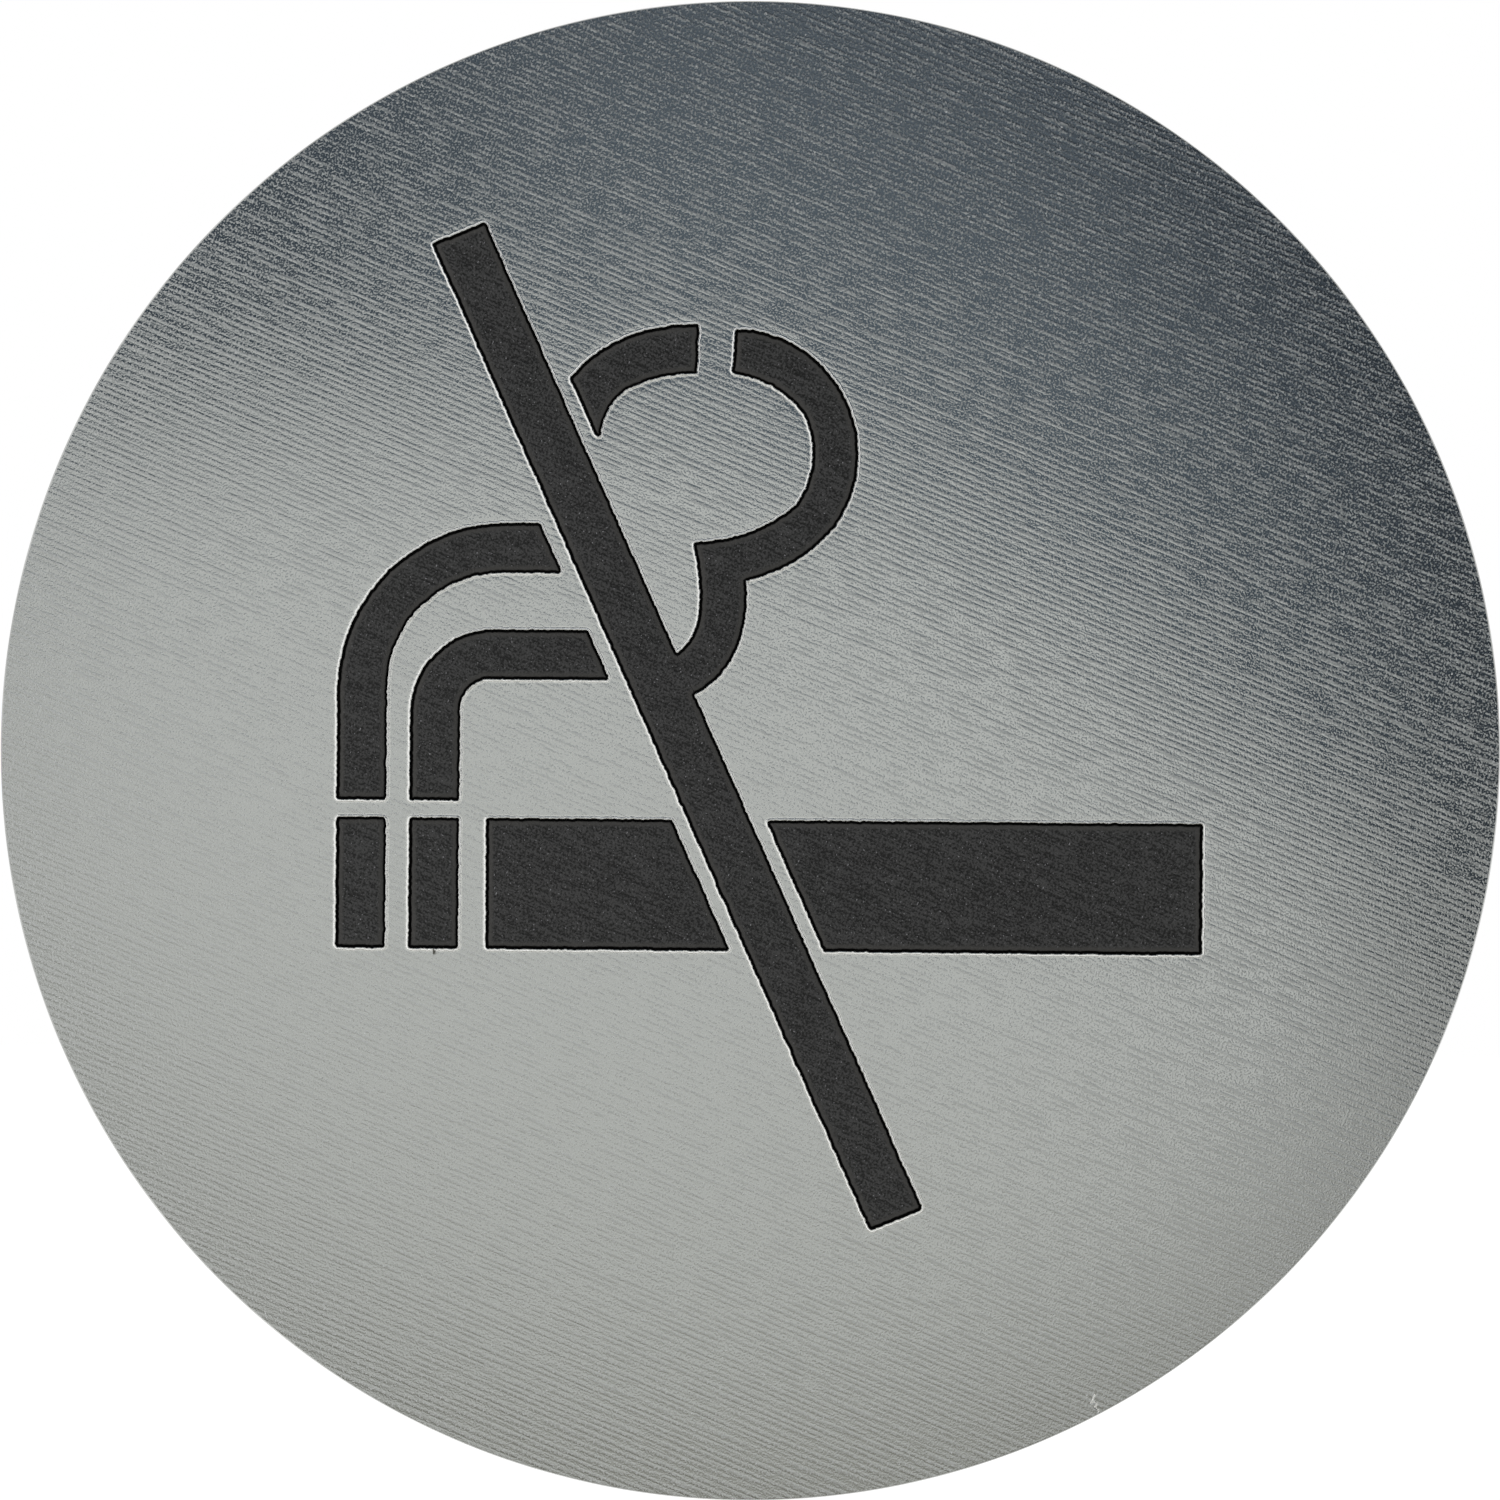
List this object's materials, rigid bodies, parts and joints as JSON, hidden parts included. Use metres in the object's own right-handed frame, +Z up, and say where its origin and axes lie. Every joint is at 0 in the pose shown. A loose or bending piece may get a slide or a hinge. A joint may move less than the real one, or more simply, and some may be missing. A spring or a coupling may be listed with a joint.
{
  "type": "no smoking sign",
  "caption": "Round no smoking sign for a door or wall: a thin brushed stainless steel disc with a cigarette, rising smoke and a slash etched and filled with black enamel.",
  "frame": {"origin": "centre of the flat back face, the one that goes against the door or wall", "axes": "+X to the reader's right, +Y into the wall, +Z up; the front face looks towards -Y"},
  "size_m": [0.075, 0.001, 0.075],
  "materials": {
    "brushed_steel": "brushed in straight lines that fall to the right",
    "black_enamel": "matte black enamel"
  },
  "bodies": {
    "root": {"sign_plate": "brushed_steel", "slash_bar": "black_enamel", "smoke_curl": "black_enamel", "smoke_cloud_left": "black_enamel", "smoke_trail_outer": "black_enamel", "smoke_trail_inner": "black_enamel", "ember_band_outer": "black_enamel", "ember_band_inner": "black_enamel", "cigarette_left": "black_enamel", "cigarette_right": "black_enamel"}
  },
  "joints": []
}
